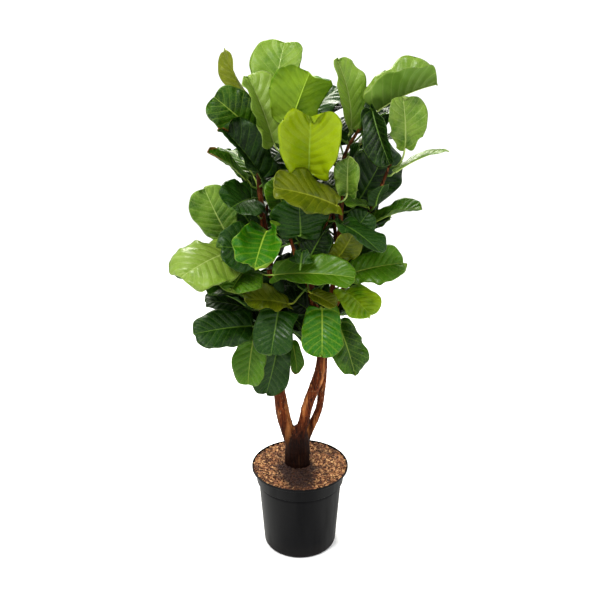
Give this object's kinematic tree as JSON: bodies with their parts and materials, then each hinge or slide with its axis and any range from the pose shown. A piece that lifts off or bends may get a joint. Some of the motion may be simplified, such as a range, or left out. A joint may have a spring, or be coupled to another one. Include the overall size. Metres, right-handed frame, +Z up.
{
  "type": "potted fiddle leaf fig",
  "caption": "Branched fiddle leaf fig with large leathery lyre-shaped leaves on bare brown stems, growing in a bark-mulched black tapered nursery pot.",
  "frame": {"origin": "centre of the pot's underside, on the surface the plant stands on", "axes": "+Z up along the pot's axis and the plant's height; -Y towards the plant's fuller side; +X to its right"},
  "size_m": [0.6873, 0.5298, 1.4175],
  "materials": {
    "pot_plastic": "black injection-moulded polypropylene, satin",
    "bark_mulch": "loose bark and coir chips over potting soil",
    "bark": "brown bark with tan patches, darker at the base",
    "leaf_bright": "young leaf, bright yellow-green, waxy",
    "leaf_yellow": "leaf seen against the light, olive yellow",
    "leaf_pale": "waxy leaf with a pale bluish sheen",
    "leaf_mid": "grown leaf, mid green, waxy",
    "leaf_dark": "old leaf, dark green, glossy"
  },
  "bodies": {
    "root": {"pot": "pot_plastic", "soil": "bark_mulch", "stem": "bark", "leaf_top_back": "leaf_pale", "leaf_top_spike": "leaf_yellow", "leaf_tall_folded": "leaf_pale", "leaf_top_backlit": "leaf_bright", "leaf_back_shade": "leaf_dark", "leaf_right_upright": "leaf_pale", "leaf_right_canopy": "leaf_pale", "leaf_right_hanging": "leaf_pale", "leaf_right_drooping": "leaf_dark", "leaf_right_under": "leaf_yellow", "leaf_right_shade": "leaf_dark", "leaf_outer_spike_high": "leaf_pale", "leaf_outer_spike_low": "leaf_mid", "leaf_centre_bright": "leaf_bright", "leaf_centre_olive": "leaf_yellow", "leaf_centre_crumpled": "leaf_pale", "leaf_right_small": "leaf_mid", "leaf_left_high_dark": "leaf_mid", "leaf_left_cupped": "leaf_dark", "leaf_left_spike": "leaf_mid", "leaf_left_pale": "leaf_pale", "leaf_left_brown_edged": "leaf_mid", "leaf_left_inner": "leaf_dark", "leaf_centre_small": "leaf_mid", "leaf_left_big": "leaf_pale", "leaf_left_long": "leaf_mid", "leaf_left_second": "leaf_dark", "leaf_left_oval": "leaf_dark", "leaf_left_front": "leaf_dark", "leaf_cup_bright": "leaf_bright", "leaf_centre_round": "leaf_dark", "leaf_centre_curl": "leaf_dark", "leaf_centre_veined": "leaf_mid", "leaf_right_glossy": "leaf_mid", "leaf_right_behind": "leaf_mid", "leaf_yellow_upright": "leaf_yellow", "leaf_right_round": "leaf_bright", "leaf_right_crinkled": "leaf_mid", "leaf_front_low": "leaf_bright", "leaf_low_dull": "leaf_dark", "leaf_low_left_drop": "leaf_mid", "leaf_low_dark_drop": "leaf_dark", "leaf_low_scrap": "leaf_mid", "leaf_under_yellow": "leaf_yellow", "leaf_small_yellow": "leaf_yellow", "leaf_centre_shade": "leaf_dark", "leaf_right_inner": "leaf_dark", "leaf_back_low_left": "leaf_mid", "leaf_back_low_middle": "leaf_dark", "leaf_back_low_right": "leaf_mid", "leaf_back_left_out": "leaf_mid", "leaf_back_middle": "leaf_dark", "leaf_back_right_out": "leaf_mid", "leaf_back_high_left": "leaf_mid", "leaf_back_high_middle": "leaf_mid", "leaf_back_high_right": "leaf_mid", "leaf_back_top": "leaf_mid"}
  },
  "joints": []
}
